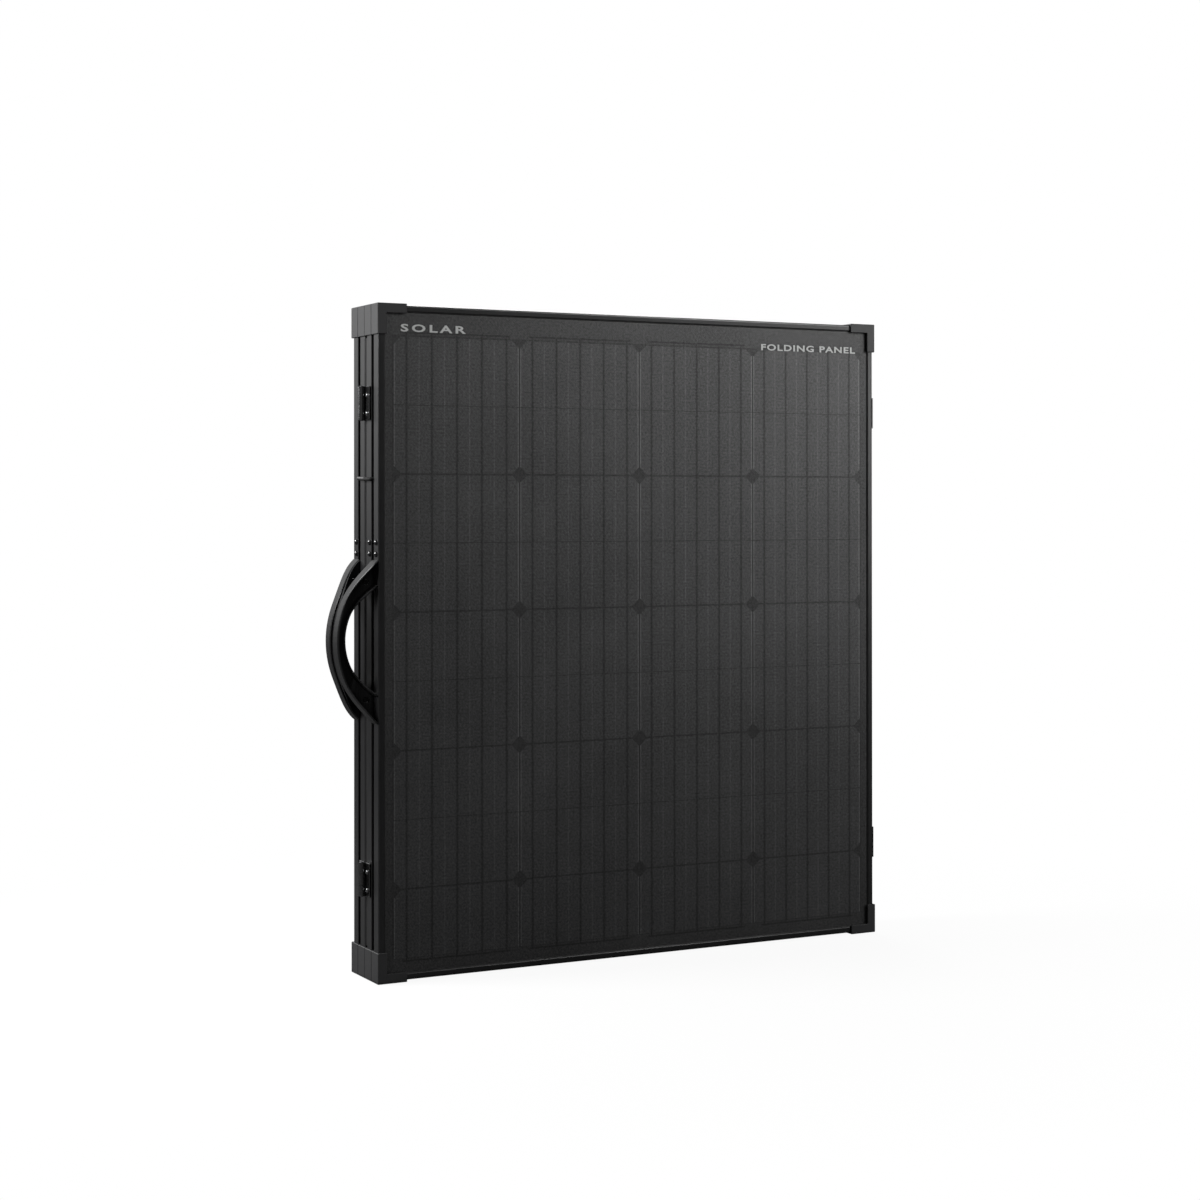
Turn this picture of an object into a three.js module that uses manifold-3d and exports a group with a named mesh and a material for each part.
// Folding briefcase solar panel: four framed leaves in an accordion fold, standing on a short edge
// with the handle on the -X side. Millimetres, +Z up. The stack is centred on X and Y by its
// bounding box and its lowest point is Z = 0.
// Leaf 1 is the front leaf; its cell face looks along -Y. Leaf 4's cell face looks along +Y.
import * as THREE from "three";
import { mergeVertices } from "three/addons/utils/BufferGeometryUtils.js";
import Module from "manifold-3d";

const { lerp, smoothstep } = THREE.MathUtils;

// ---- driving dimensions ----
const LEAF_W = 671; // frame, outside to outside
const LEAF_H = 780;
const LEAF_T = 16; // frame depth
const FACE_GAP = 5.6; // between the frames of leaves 2 and 3, which fold cell face to cell face
const BACK_GAP = 7.2; // between the frames that fold back to back
const GAP = 0.3; // clearance at touching faces

const LIP_T = 1.4; // front lip of the rail, which the laminate lies behind
const LAM_T = 3.2; // laminate
const LAM_INSET = 2.0;
const WALL = 1.6; // outer wall of the rail

const CAP_PROUD = 1.8; // corner cap, outside the frame's edges
const HINGE_OUT = 5.1; // hinge axis outside the frame's side
const BARREL_R = 4.7;
const HANDLE_OUT = 42; // handle height outside the frame

// ---- derived ----
const HALF_W = LEAF_W / 2;
const PITCH = LEAF_T + (FACE_GAP + BACK_GAP) / 2; // from one fold axis to the next
const HALF_STACK = 2 * LEAF_T + BACK_GAP + FACE_GAP / 2;
const X_SHIFT = (HANDLE_OUT - (HINGE_OUT + BARREL_R)) / 2;
const Z_SHIFT = CAP_PROUD;
const LAM_FRONT = LIP_T + GAP; // depths behind the cell face
const LAM_BACK = LAM_FRONT + LAM_T;
const BEHIND_LAM = LAM_BACK + GAP;

// faceY is the plane of the frame's cell side; a mirrored leaf looks along +Y.
const LEAVES = [
  { number: 1, faceY: -HALF_STACK, mirrored: false },
  { number: 2, faceY: -FACE_GAP / 2, mirrored: true },
  { number: 3, faceY: FACE_GAP / 2, mirrored: false },
  { number: 4, faceY: HALF_STACK, mirrored: true },
];

const finish = {
  frame: new THREE.MeshStandardMaterial({ color: 0x1c1c1e, roughness: 0.42, metalness: 0.6 }),
  cap: new THREE.MeshStandardMaterial({ color: 0x2b2b2d, roughness: 0.6, metalness: 0.0 }),
  laminate: new THREE.MeshStandardMaterial({ color: 0x1f2022, roughness: 0.5, metalness: 0.0 }),
  hinge: new THREE.MeshStandardMaterial({ color: 0x3a3a3c, roughness: 0.4, metalness: 0.8 }),
  handle: new THREE.MeshStandardMaterial({ color: 0x18181a, roughness: 0.45, metalness: 0.0 }),
  leg: new THREE.MeshStandardMaterial({ color: 0xa8aaad, roughness: 0.4, metalness: 0.8 }),
  bracket: new THREE.MeshStandardMaterial({ color: 0x8e9093, roughness: 0.4, metalness: 0.8 }),
  box: new THREE.MeshStandardMaterial({ color: 0x141415, roughness: 0.55, metalness: 0.0 }),
};

// ---- shapes: triangle lists that carry positions only ----
function positionsOnly(geometry) {
  const position = geometry.toNonIndexed().getAttribute("position");
  return new THREE.BufferGeometry().setAttribute("position", position);
}

// A closed solid swept through rings of equal length. Both ends are filled with the triangles
// of the flat outline.
function loft(rings, outline) {
  const count = rings[0].length;
  const points = rings.flat().map((point) => new THREE.Vector3(...point));
  const lastRing = (rings.length - 1) * count;
  let faces = [];
  for (let ring = 0; ring < lastRing; ring += count)
    for (let j = 0; j < count; j++) {
      const k = (j + 1) % count;
      const next = ring + count;
      faces.push([ring + j, ring + k, next + k], [ring + j, next + k, next + j]);
    }

  // The end triangles follow the outline's own winding, so that they match the side faces.
  const contour = outline.map(([x, y]) => new THREE.Vector2(x, y));
  const area = THREE.ShapeUtils.area(contour);
  for (const [a, b, c] of THREE.ShapeUtils.triangulateShape(contour, [])) {
    const turn = THREE.ShapeUtils.area([contour[a], contour[b], contour[c]]);
    const [p, q, r] = turn * area > 0 ? [a, b, c] : [a, c, b];
    faces.push([p, r, q], [lastRing + p, lastRing + q, lastRing + r]);
  }

  // A negative volume means that every face looks inward.
  let volume = 0;
  for (const [a, b, c] of faces) volume += points[a].dot(points[b].clone().cross(points[c]));
  if (volume < 0) faces = faces.map(([a, b, c]) => [a, c, b]);
  return positionsOnly(new THREE.BufferGeometry().setFromPoints(points).setIndex(faces.flat()));
}

// Boxes take a [low, high] span along each axis.
function box([x0, x1], [y0, y1], [z0, z1]) {
  const geometry = new THREE.BoxGeometry(x1 - x0, y1 - y0, z1 - z0);
  geometry.translate((x0 + x1) / 2, (y0 + y1) / 2, (z0 + z1) / 2);
  return positionsOnly(geometry);
}

// A box whose twelve edges are cut at 45 degrees.
function chamferBox(xSpan, ySpan, zSpan, chamfer) {
  const spans = [xSpan, ySpan, zSpan];
  const centre = new THREE.Vector3(...spans.map(([low, high]) => (low + high) / 2));
  // Each corner becomes three points, one on each of the faces that meet there.
  const onFace = (axis) => (...ends) => {
    const inset = (end, a) => (a === axis ? 0 : end ? -chamfer : chamfer);
    return new THREE.Vector3(...ends.map((end, a) => spans[a][end] + inset(end, a)));
  };
  const [onX, onY, onZ] = [0, 1, 2].map(onFace);
  const vertices = [];
  const addFace = (...corners) => {
    for (let i = 1; i + 1 < corners.length; i++) {
      const [p, q, r] = [corners[0], corners[i], corners[i + 1]];
      const normal = q.clone().sub(p).cross(r.clone().sub(p));
      const outward = normal.dot(p.clone().sub(centre)) >= 0;
      vertices.push(...(outward ? [p, q, r] : [p, r, q]));
    }
  };
  for (let i = 0; i < 2; i++) {
    addFace(onX(i, 0, 0), onX(i, 0, 1), onX(i, 1, 1), onX(i, 1, 0));
    addFace(onY(0, i, 0), onY(0, i, 1), onY(1, i, 1), onY(1, i, 0));
    addFace(onZ(0, 0, i), onZ(0, 1, i), onZ(1, 1, i), onZ(1, 0, i));
  }
  for (let i = 0; i < 2; i++)
    for (let j = 0; j < 2; j++) {
      addFace(onX(i, j, 0), onX(i, j, 1), onY(i, j, 1), onY(i, j, 0));
      addFace(onX(i, 0, j), onX(i, 1, j), onZ(i, 1, j), onZ(i, 0, j));
      addFace(onY(0, i, j), onY(1, i, j), onZ(1, i, j), onZ(0, i, j));
      for (let k = 0; k < 2; k++) addFace(onX(i, j, k), onY(i, j, k), onZ(i, j, k));
    }
  return new THREE.BufferGeometry().setFromPoints(vertices);
}

function rod(radius, length, axis, centre, segments = 20) {
  const geometry = new THREE.CylinderGeometry(radius, radius, length, segments);
  if (axis === "z") geometry.rotateX(Math.PI / 2);
  if (axis === "x") geometry.rotateZ(Math.PI / 2);
  geometry.translate(...centre);
  return positionsOnly(geometry);
}

// ---- booleans ----
const wasm = await Module();
wasm.setup();

function solid(geometry) {
  const merged = mergeVertices(geometry, 1e-4);
  const vertProperties = merged.attributes.position.array;
  const triVerts = new Uint32Array(merged.index.array);
  return new wasm.Manifold(new wasm.Mesh({ numProp: 3, vertProperties, triVerts }));
}

function combine(add, cut = []) {
  let result = solid(add[0]);
  for (const geometry of add.slice(1)) result = result.add(solid(geometry));
  for (const geometry of cut) result = result.subtract(solid(geometry));
  const mesh = result.getMesh();
  const geometry = new THREE.BufferGeometry();
  geometry.setAttribute("position", new THREE.BufferAttribute(mesh.vertProperties, 3));
  geometry.setIndex(new THREE.BufferAttribute(mesh.triVerts, 1));
  return positionsOnly(geometry);
}

// ---- placing ----
const part = new THREE.Group();
part.name = "folding_solar_panel";

// Mirrors a shape in place, and swaps two corners of each triangle to keep it facing outward.
function reflect(geometry, axis) {
  geometry.scale(axis === "x" ? -1 : 1, axis === "y" ? -1 : 1, 1);
  const position = geometry.getAttribute("position");
  for (let i = 0; i < position.count; i += 3) {
    const second = new THREE.Vector3().fromBufferAttribute(position, i + 1);
    const third = new THREE.Vector3().fromBufferAttribute(position, i + 2);
    position.setXYZ(i + 1, ...third);
    position.setXYZ(i + 2, ...second);
  }
  return geometry;
}

function place(name, geometry, material) {
  geometry.translate(X_SHIFT, 0, Z_SHIFT);
  geometry.computeVertexNormals();
  const mesh = new THREE.Mesh(geometry, material);
  mesh.name = name;
  part.add(mesh);
}

// Leaf coordinates are x, depth behind the cell face, and z above the frame's bottom.
function placeInLeaf(leaf, name, geometry, material) {
  if (leaf.mirrored) reflect(geometry, "y");
  geometry.translate(0, leaf.faceY, 0);
  place(name, geometry, material);
}

// ---- frame rails: one extrusion, mitred at 45 degrees ----
const LIP_W = 7.5;
const LIP_BEVEL = 1.0;
const EDGE_R = 2.1; // rounding of the outer front edge
const EDGE_NEAR = EDGE_R * 0.13;
const EDGE_HALF = EDGE_R * 0.5;
const SHELF_W = 12; // shelf behind the laminate
const SHELF_BACK = BEHIND_LAM + 1.4;
const FOOT_W = 14; // flange along the back
const FOOT_FRONT = LEAF_T - 1.6;
const FOOT_BEVEL = 0.4;
const BACK_BEVEL = 0.8; // outer back edge
const MITRE = 0.2; // each rail end stops this far short of the mitre

// Columns: distance in from the frame's outside, depth behind the cell face.
const RAIL = [
  [0, EDGE_R], [EDGE_NEAR, EDGE_HALF], [EDGE_HALF, EDGE_NEAR], [EDGE_R, 0],
  [LIP_W - LIP_BEVEL, 0], [LIP_W, LIP_BEVEL * 0.8], [LIP_W, LIP_T], [WALL, LIP_T],
  [WALL, BEHIND_LAM], [SHELF_W, BEHIND_LAM], [SHELF_W, SHELF_BACK], [WALL, SHELF_BACK],
  [WALL, FOOT_FRONT], [FOOT_W, FOOT_FRONT], [FOOT_W, LEAF_T - FOOT_BEVEL],
  [FOOT_W - FOOT_BEVEL, LEAF_T], [BACK_BEVEL, LEAF_T], [0, LEAF_T - BACK_BEVEL],
];

// Each side maps a profile point to the rail's low (end = -1) or high (end = 1) end.
const endX = (inward, end) => end * (HALF_W - inward - MITRE);
const endZ = (inward, end) => LEAF_H / 2 + end * (LEAF_H / 2 - inward - MITRE);
const RAIL_SIDES = {
  left: (inward, depth, end) => [-HALF_W + inward, depth, endZ(inward, end)],
  right: (inward, depth, end) => [HALF_W - inward, depth, endZ(inward, end)],
  top: (inward, depth, end) => [endX(inward, end), depth, LEAF_H - inward],
  bottom: (inward, depth, end) => [endX(inward, end), depth, inward],
};

function rail(pointAt) {
  const rings = [-1, 1].map((end) => RAIL.map(([inward, depth]) => pointAt(inward, depth, end)));
  return loft(rings, RAIL);
}

// ---- corner cap: an L-shaped sleeve over the mitred corner ----
const CAP_LEG = 34; // measured from the frame's corner
const CAP_BAND = 9.5;
const CAP_FACE = 2.65; // cell side, proud of the frame
const CAP_BACK = 3.3; // back side
const CAP_CHAMFER = 0.6;
const CAP_CUT = CAP_LEG + 9; // the hollow runs out past the ends of the legs

function cornerCap(xSide, zSide) {
  // Spans measured inward from the frame's corner.
  const spanX = (from, to) => (xSide < 0 ? [-HALF_W + from, -HALF_W + to] : [HALF_W - to, HALF_W - from]);
  const spanZ = (from, to) => (zSide < 0 ? [from, to] : [LEAF_H - to, LEAF_H - from]);
  const arm = (alongX, alongZ) =>
    chamferBox(
      spanX(-CAP_PROUD, alongX),
      [-CAP_FACE, LEAF_T + CAP_BACK],
      spanZ(-CAP_PROUD, alongZ),
      CAP_CHAMFER,
    );
  const hollow = box(spanX(-GAP, CAP_CUT), [-GAP, LEAF_T + GAP], spanZ(-GAP, CAP_CUT));
  return combine([arm(CAP_LEG, CAP_BAND), arm(CAP_BAND, CAP_LEG)], [hollow]);
}

function laminate() {
  const half = HALF_W - LAM_INSET;
  return box([-half, half], [LAM_FRONT, LAM_BACK], [LAM_INSET, LEAF_H - LAM_INSET]);
}

for (const leaf of LEAVES) {
  const prefix = `leaf_${leaf.number}`;
  for (const [side, pointAt] of Object.entries(RAIL_SIDES))
    placeInLeaf(leaf, `${prefix}_rail_${side}`, rail(pointAt), finish.frame);
  for (const [xSide, xName] of [[-1, "left"], [1, "right"]])
    for (const [zSide, zName] of [[-1, "bottom"], [1, "top"]]) {
      const name = `${prefix}_cap_${zName}_${xName}`;
      placeInLeaf(leaf, name, cornerCap(xSide, zSide), finish.cap);
    }
  placeInLeaf(leaf, `${prefix}_laminate`, laminate(), finish.laminate);
}

// ---- junction boxes on the backs of the laminates, with two round stubs below ----
const BOX_HALF_W = 48;
const BOX_BOTTOM = 668;
const BOX_TOP = 726;
const BOX_T = 9;
const BOX_CHAMFER = 1.6;
const LID_INSET = 6;
const LID_PROUD = 1.2;
const LID_SUNK = 2;
const LID_CHAMFER = 0.6;
const STUB = { radius: 3.6, length: 14, x: 30, depth: 4.6, z: 662 }; // depth from the box's front

function junctionBox() {
  const back = BEHIND_LAM + BOX_T;
  const lidHalf = BOX_HALF_W - LID_INSET;
  return combine([
    chamferBox([-BOX_HALF_W, BOX_HALF_W], [BEHIND_LAM, back], [BOX_BOTTOM, BOX_TOP], BOX_CHAMFER),
    chamferBox(
      [-lidHalf, lidHalf],
      [back - LID_SUNK, back + LID_PROUD],
      [BOX_BOTTOM + LID_INSET, BOX_TOP - LID_INSET],
      LID_CHAMFER,
    ),
    ...[-STUB.x, STUB.x].map((x) =>
      rod(STUB.radius, STUB.length, "z", [x, BEHIND_LAM + STUB.depth, STUB.z]),
    ),
  ]);
}

for (const leaf of LEAVES)
  placeInLeaf(leaf, `leaf_${leaf.number}_junction_box`, junctionBox(), finish.box);

// ---- hinges: two plates on the frame sides, three knuckles on one pin ----
// Hinge coordinates: x away from the frame's side, y across the gap, z along the pin.
const HINGE_HALF = 19.5; // half length
const HINGE_Z = { bottom: 114, top: 667.5 }; // hinge centres above the frame's bottom
const PIN_R = 2.0;
const PIN_SHORT = 0.02; // pin length below the hinge's
const PIN_SEGMENTS = 16;
const BORE_R = 2.3;
const KNUCKLE = 6.85; // from the centre to the outer knuckles
const PLATE_D = 14.0;
const PLATE_SETBACK = 0.65; // from the edge of the frame
const PLATE_CHAMFER = 0.35;
const PLATE_X = [GAP - HINGE_OUT, GAP - HINGE_OUT + 1.6];

// The strip that joins a plate to its knuckle.
const STRIP_X = [PLATE_X[0] + 0.02, PLATE_X[1] + 0.3];
const STRIP_LAP = 0.6; // over the plate
const STRIP_END = 1; // from the axis
const STRIP_SHORT = 0.01; // at each end of the knuckle

function hingePinned(gap) {
  const plateY = gap / 2 + PLATE_SETBACK;
  const ySpan = [-plateY - PLATE_D, -plateY];
  const add = [
    chamferBox(PLATE_X, ySpan, [-HINGE_HALF, HINGE_HALF], PLATE_CHAMFER),
    rod(PIN_R, 2 * HINGE_HALF - PIN_SHORT, "z", [0, 0, 0], PIN_SEGMENTS),
  ];
  for (const [z0, z1] of [[-HINGE_HALF, -KNUCKLE], [KNUCKLE, HINGE_HALF]]) {
    const zSpan = [z0 + STRIP_SHORT, z1 - STRIP_SHORT];
    add.push(box(STRIP_X, [-plateY - STRIP_LAP, -STRIP_END], zSpan));
    add.push(rod(BARREL_R, z1 - z0, "z", [0, 0, (z0 + z1) / 2]));
  }
  return combine(add);
}

function hingeSleeve(gap) {
  const plateY = gap / 2 + PLATE_SETBACK;
  const half = KNUCKLE - GAP;
  const stripZ = [-half + STRIP_SHORT, half - STRIP_SHORT];
  return combine(
    [
      chamferBox(PLATE_X, [plateY, plateY + PLATE_D], [-HINGE_HALF, HINGE_HALF], PLATE_CHAMFER),
      box(STRIP_X, [STRIP_END, plateY + STRIP_LAP], stripZ),
      rod(BARREL_R, 2 * half, "z", [0, 0, 0]),
    ],
    [rod(BORE_R, 2 * HINGE_HALF, "z", [0, 0, 0], PIN_SEGMENTS)],
  );
}

// side is the sign of x; pair names the two leaves.
const HINGES = [
  { pair: "12", side: 1, y: -PITCH, gap: BACK_GAP },
  { pair: "23", side: -1, y: 0, gap: FACE_GAP },
  { pair: "34", side: 1, y: PITCH, gap: BACK_GAP },
];
for (const { pair, side, y, gap } of HINGES)
  for (const [end, z] of Object.entries(HINGE_Z))
    for (const [role, make] of [["pinned", hingePinned], ["sleeve", hingeSleeve]]) {
      const geometry = make(gap);
      if (side < 0) reflect(geometry, "x");
      geometry.translate(side * (HALF_W + HINGE_OUT), y, z);
      place(`hinge_${pair}_${end}_${role}`, geometry, finish.hinge);
    }

// ---- handle halves: a channel bent in an arch, rooted on the outer leaves, leaning to the middle ----
const HANDLE_STEPS = 48;
const HANDLE_CLEAR = 0.35; // between the frame's side and the roots
const HANDLE_X = -HALF_W - HANDLE_CLEAR;
const HANDLE_Z = 391;
const LEAF_1_BACK = -HALF_STACK + LEAF_T;
// z is the arch's centre, half its half length, and power shapes its rise.
const OUTER_ARCH = { height: HANDLE_OUT - HANDLE_CLEAR, z: HANDLE_Z, half: 94.5, power: 0.92 };
const INNER_ARCH = { height: 31.5 - HANDLE_CLEAR, z: HANDLE_Z + 1.5, half: 62, power: 0.88 };
const HANDLE_HOLE = { radius: 3.4, length: 60, out: 7.8, z: HANDLE_Z + 1, spread: 68 };

// Values at the root and at the middle of the arch.
const OUTER_FLANGE_Y = [-HALF_STACK + 1.0, -20.5]; // front edge
const INNER_FLANGE_Y = [-HALF_STACK + 2.4, -19.5]; // front edge
const RIM_Y = [LEAF_1_BACK + 4.2, -5.6]; // rear
const WEB_Y = [LEAF_1_BACK + 0.2, -13.2]; // front
const TONGUE_Y = [LEAF_1_BACK + 5.2, -0.5]; // rear
const TONGUE_STEP = [1.0, 3.0]; // tongue in from the rim's sides
const WEB_MIN = 3.4; // least depth from web front to rim rear

// Columns: distance from the outer arch towards the inner one, y. rise is 0 at the roots and
// 1 at the middle; width is the distance between the arches.
function handleSection(rise, width) {
  const lean = smoothstep(rise, 0.04, 0.8);
  const fill = smoothstep(rise, 0.05, 0.3);
  const outer = lerp(...OUTER_FLANGE_Y, lean);
  const inner = lerp(...INNER_FLANGE_Y, lean);
  const rim = lerp(...RIM_Y, lean);
  const web = Math.min(lerp(...WEB_Y, fill), rim - WEB_MIN);
  const tongue = lerp(...TONGUE_Y, lean);
  const step = lerp(...TONGUE_STEP, lean);
  return [
    [0.9, outer], [0, outer + 0.9], [0, rim - 1.2], [1.0, rim],
    [step + 0.2, rim + 0.05], [step + 0.7, tongue],
    [width - step - 0.2, tongue], [width - step + 0.3, rim + 0.05],
    [width - 0.7, rim], [width, rim - 0.9], [width, inner + 0.7], [width - 0.7, inner],
    [width - 2.2, inner], [width - 2.2, web - 0.8], [width - 3.0, web],
    [3.3, web], [2.5, web - 0.8], [2.5, outer],
  ];
}

function handle() {
  const sections = [];
  const rings = [];
  for (let i = 0; i <= HANDLE_STEPS; i++) {
    const along = Math.cos((Math.PI * i) / HANDLE_STEPS); // 1 at the top root, -1 at the bottom
    const rise = 1 - along * along;
    const [[outerX, outerZ], [innerX, innerZ]] = [OUTER_ARCH, INNER_ARCH].map((arch) => [
      HANDLE_X - arch.height * Math.pow(rise, arch.power),
      arch.z + arch.half * along,
    ]);
    const width = Math.hypot(innerX - outerX, innerZ - outerZ);
    const section = handleSection(rise, width);
    sections.push(section);
    rings.push(
      section.map(([across, y]) => [
        outerX + ((innerX - outerX) * across) / width,
        y,
        outerZ + ((innerZ - outerZ) * across) / width,
      ]),
    );
  }
  const { radius, length, out, z, spread } = HANDLE_HOLE;
  const holes = [-spread, spread].map((offset) =>
    rod(radius, length, "y", [HANDLE_X - out, LEAF_1_BACK, z + offset]),
  );
  return combine([loft(rings, sections[0])], holes);
}

place("handle_front", handle(), finish.handle);
place("handle_rear", reflect(handle(), "y"), finish.handle);

// ---- prop legs, folded flat in the backs of leaves 1, 2 and 4 ----
const PIVOT_Z = 500;
const PIVOT_DEPTH = 10.2; // behind the cell face
const LEG_LEN = 420;
const LEG_W = 20;
const LEG_T = 5;
const LEG_CHAMFER = 0.8;
const LEG_PIN_R = 2.5;
const LEG_PIN_SEGMENTS = 18;
const LEG_EYE_R = 4.5;
const LEG_EYE_SEGMENTS = 24;
const LEG_X0 = -HALF_W + 19;
const LEG_X1 = LEG_X0 + LEG_W;
const LEG_MID_X = (LEG_X0 + LEG_X1) / 2;
const LEG_END_Z = PIVOT_Z - LEG_LEN;

// A span about the pivot's depth.
const depthSpan = (front, back) => [PIVOT_DEPTH - front, PIVOT_DEPTH + back];

function legBracket() {
  const zSpan = [PIVOT_Z - 18, PIVOT_Z + 18];
  const pinCentre = [LEG_MID_X + 0.5, PIVOT_DEPTH, PIVOT_Z];
  return combine([
    box([-HALF_W + WALL + GAP, LEG_X0 - 3], depthSpan(3.6, 3.7), zSpan), // block
    box([LEG_X0 - 3.5, LEG_X0 - 0.4], depthSpan(3.6, 3.9), zSpan), // cheek
    rod(LEG_PIN_R, LEG_W + 6, "x", pinCentre, LEG_PIN_SEGMENTS),
  ]);
}

function leg() {
  const pivot = [LEG_MID_X, PIVOT_DEPTH, PIVOT_Z];
  const bar = chamferBox(
    [LEG_X0, LEG_X1],
    depthSpan(LEG_T / 2, LEG_T / 2),
    [LEG_END_Z, PIVOT_Z],
    LEG_CHAMFER,
  );
  const eye = rod(LEG_EYE_R, LEG_W, "x", pivot, LEG_EYE_SEGMENTS);
  const foot = chamferBox(
    [LEG_X0 - 2, LEG_X1 + 2],
    depthSpan(4.3, 4.4),
    [LEG_END_Z - 4, LEG_END_Z + 26],
    1.4,
  );
  const bore = rod(LEG_PIN_R + GAP, LEG_W + 20, "x", pivot, LEG_PIN_SEGMENTS);
  const groove = box(
    [LEG_X0 + 4, LEG_X1 - 4],
    depthSpan(1.8 - LEG_T / 2, LEG_T), // 1.8 deep in the back of the bar
    [LEG_END_Z + 34, PIVOT_Z - 14],
  );
  return combine([bar, eye, foot], [bore, groove]);
}

for (const leaf of LEAVES.filter(({ number }) => number !== 3)) {
  placeInLeaf(leaf, `leaf_${leaf.number}_leg_bracket`, legBracket(), finish.bracket);
  placeInLeaf(leaf, `leg_${leaf.number}`, leg(), finish.leg);
}

export default part;
